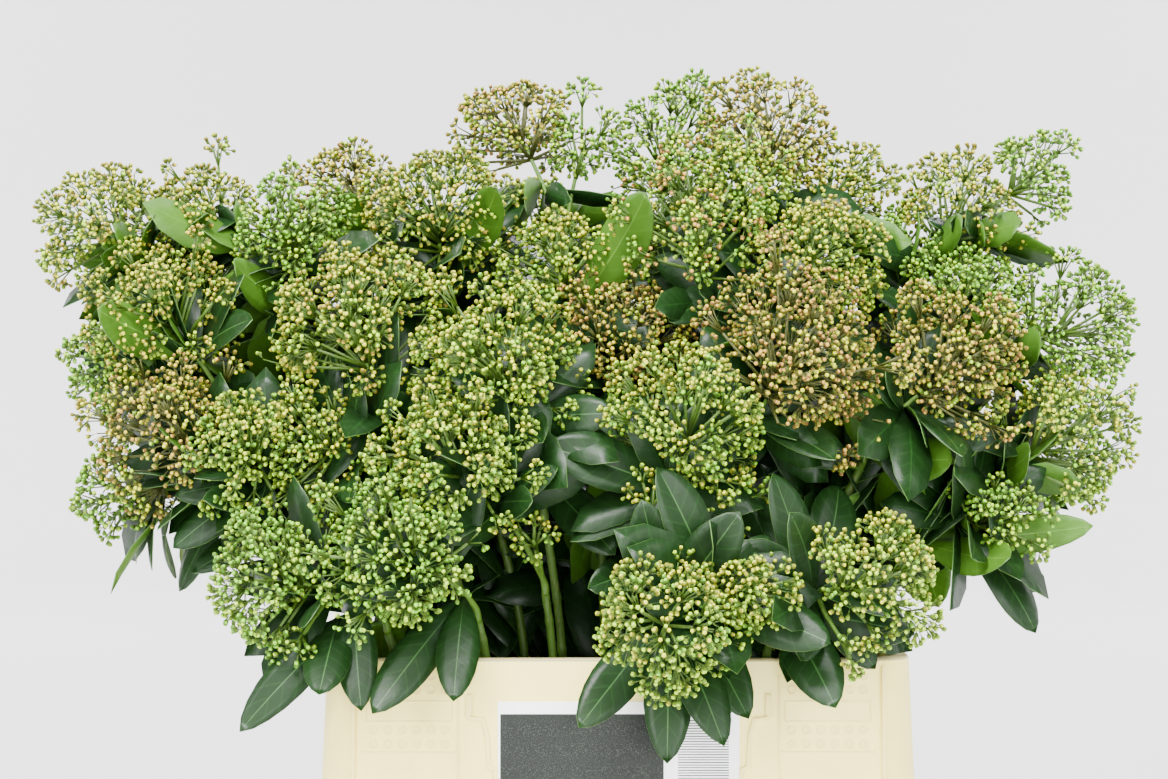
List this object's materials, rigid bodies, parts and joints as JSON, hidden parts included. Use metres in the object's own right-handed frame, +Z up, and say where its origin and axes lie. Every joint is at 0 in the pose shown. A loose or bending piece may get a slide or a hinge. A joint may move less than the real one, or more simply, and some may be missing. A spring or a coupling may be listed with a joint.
{
  "type": "bunch of cut skimmia stems in a bucket",
  "caption": "A full bunch of cut skimmia, domed heads of small round buds over glossy dark leaves, standing in a cream rectangular plastic flower bucket with a plain label.",
  "frame": {"origin": "middle of the bucket's flat underside", "axes": "+Z up; +X to the right along the bucket's long side as the picture sees it; -Y towards the viewer, the side that carries the label"},
  "size_m": [0.7843, 0.5481, 0.6944],
  "materials": {
    "bucket_plastic": "satin moulded plastic, lightly scuffed",
    "label_card": "smooth printed card",
    "green_bark": "smooth green bark",
    "skimmia_buds": "matte buds over glossy leaves"
  },
  "bodies": {
    "root": {"bucket": "bucket_plastic", "label": "label_card", "stem_01": "green_bark", "stem_02": "green_bark", "stem_03": "green_bark", "stem_04": "green_bark", "stem_05": "green_bark", "stem_06": "green_bark", "stem_07": "green_bark", "stem_08": "green_bark", "stem_09": "green_bark", "stem_10": "green_bark", "stem_11": "green_bark", "stem_12": "green_bark", "stem_13": "green_bark", "stem_14": "green_bark", "stem_15": "green_bark", "stem_16": "green_bark", "stem_17": "green_bark", "stem_18": "green_bark", "stem_19": "green_bark", "stem_20": "green_bark", "stem_21": "green_bark", "stem_22": "green_bark", "stem_23": "green_bark", "stem_24": "green_bark", "stem_25": "green_bark", "stem_26": "green_bark", "stem_27": "green_bark", "stem_28": "green_bark", "stem_29": "green_bark", "head_01": "skimmia_buds", "head_02": "skimmia_buds", "head_03": "skimmia_buds", "head_04": "skimmia_buds", "head_05": "skimmia_buds", "head_06": "skimmia_buds", "head_07": "skimmia_buds", "head_08": "skimmia_buds", "head_09": "skimmia_buds", "head_10": "skimmia_buds", "head_11": "skimmia_buds", "head_12": "skimmia_buds", "head_13": "skimmia_buds", "head_14": "skimmia_buds", "head_15": "skimmia_buds", "head_16": "skimmia_buds", "head_17": "skimmia_buds", "head_18": "skimmia_buds", "head_19": "skimmia_buds", "head_20": "skimmia_buds", "head_21": "skimmia_buds", "head_22": "skimmia_buds", "head_23": "skimmia_buds", "head_24": "skimmia_buds", "head_25": "skimmia_buds", "head_26": "skimmia_buds", "head_27": "skimmia_buds", "head_28": "skimmia_buds", "head_29": "skimmia_buds"}
  },
  "joints": []
}
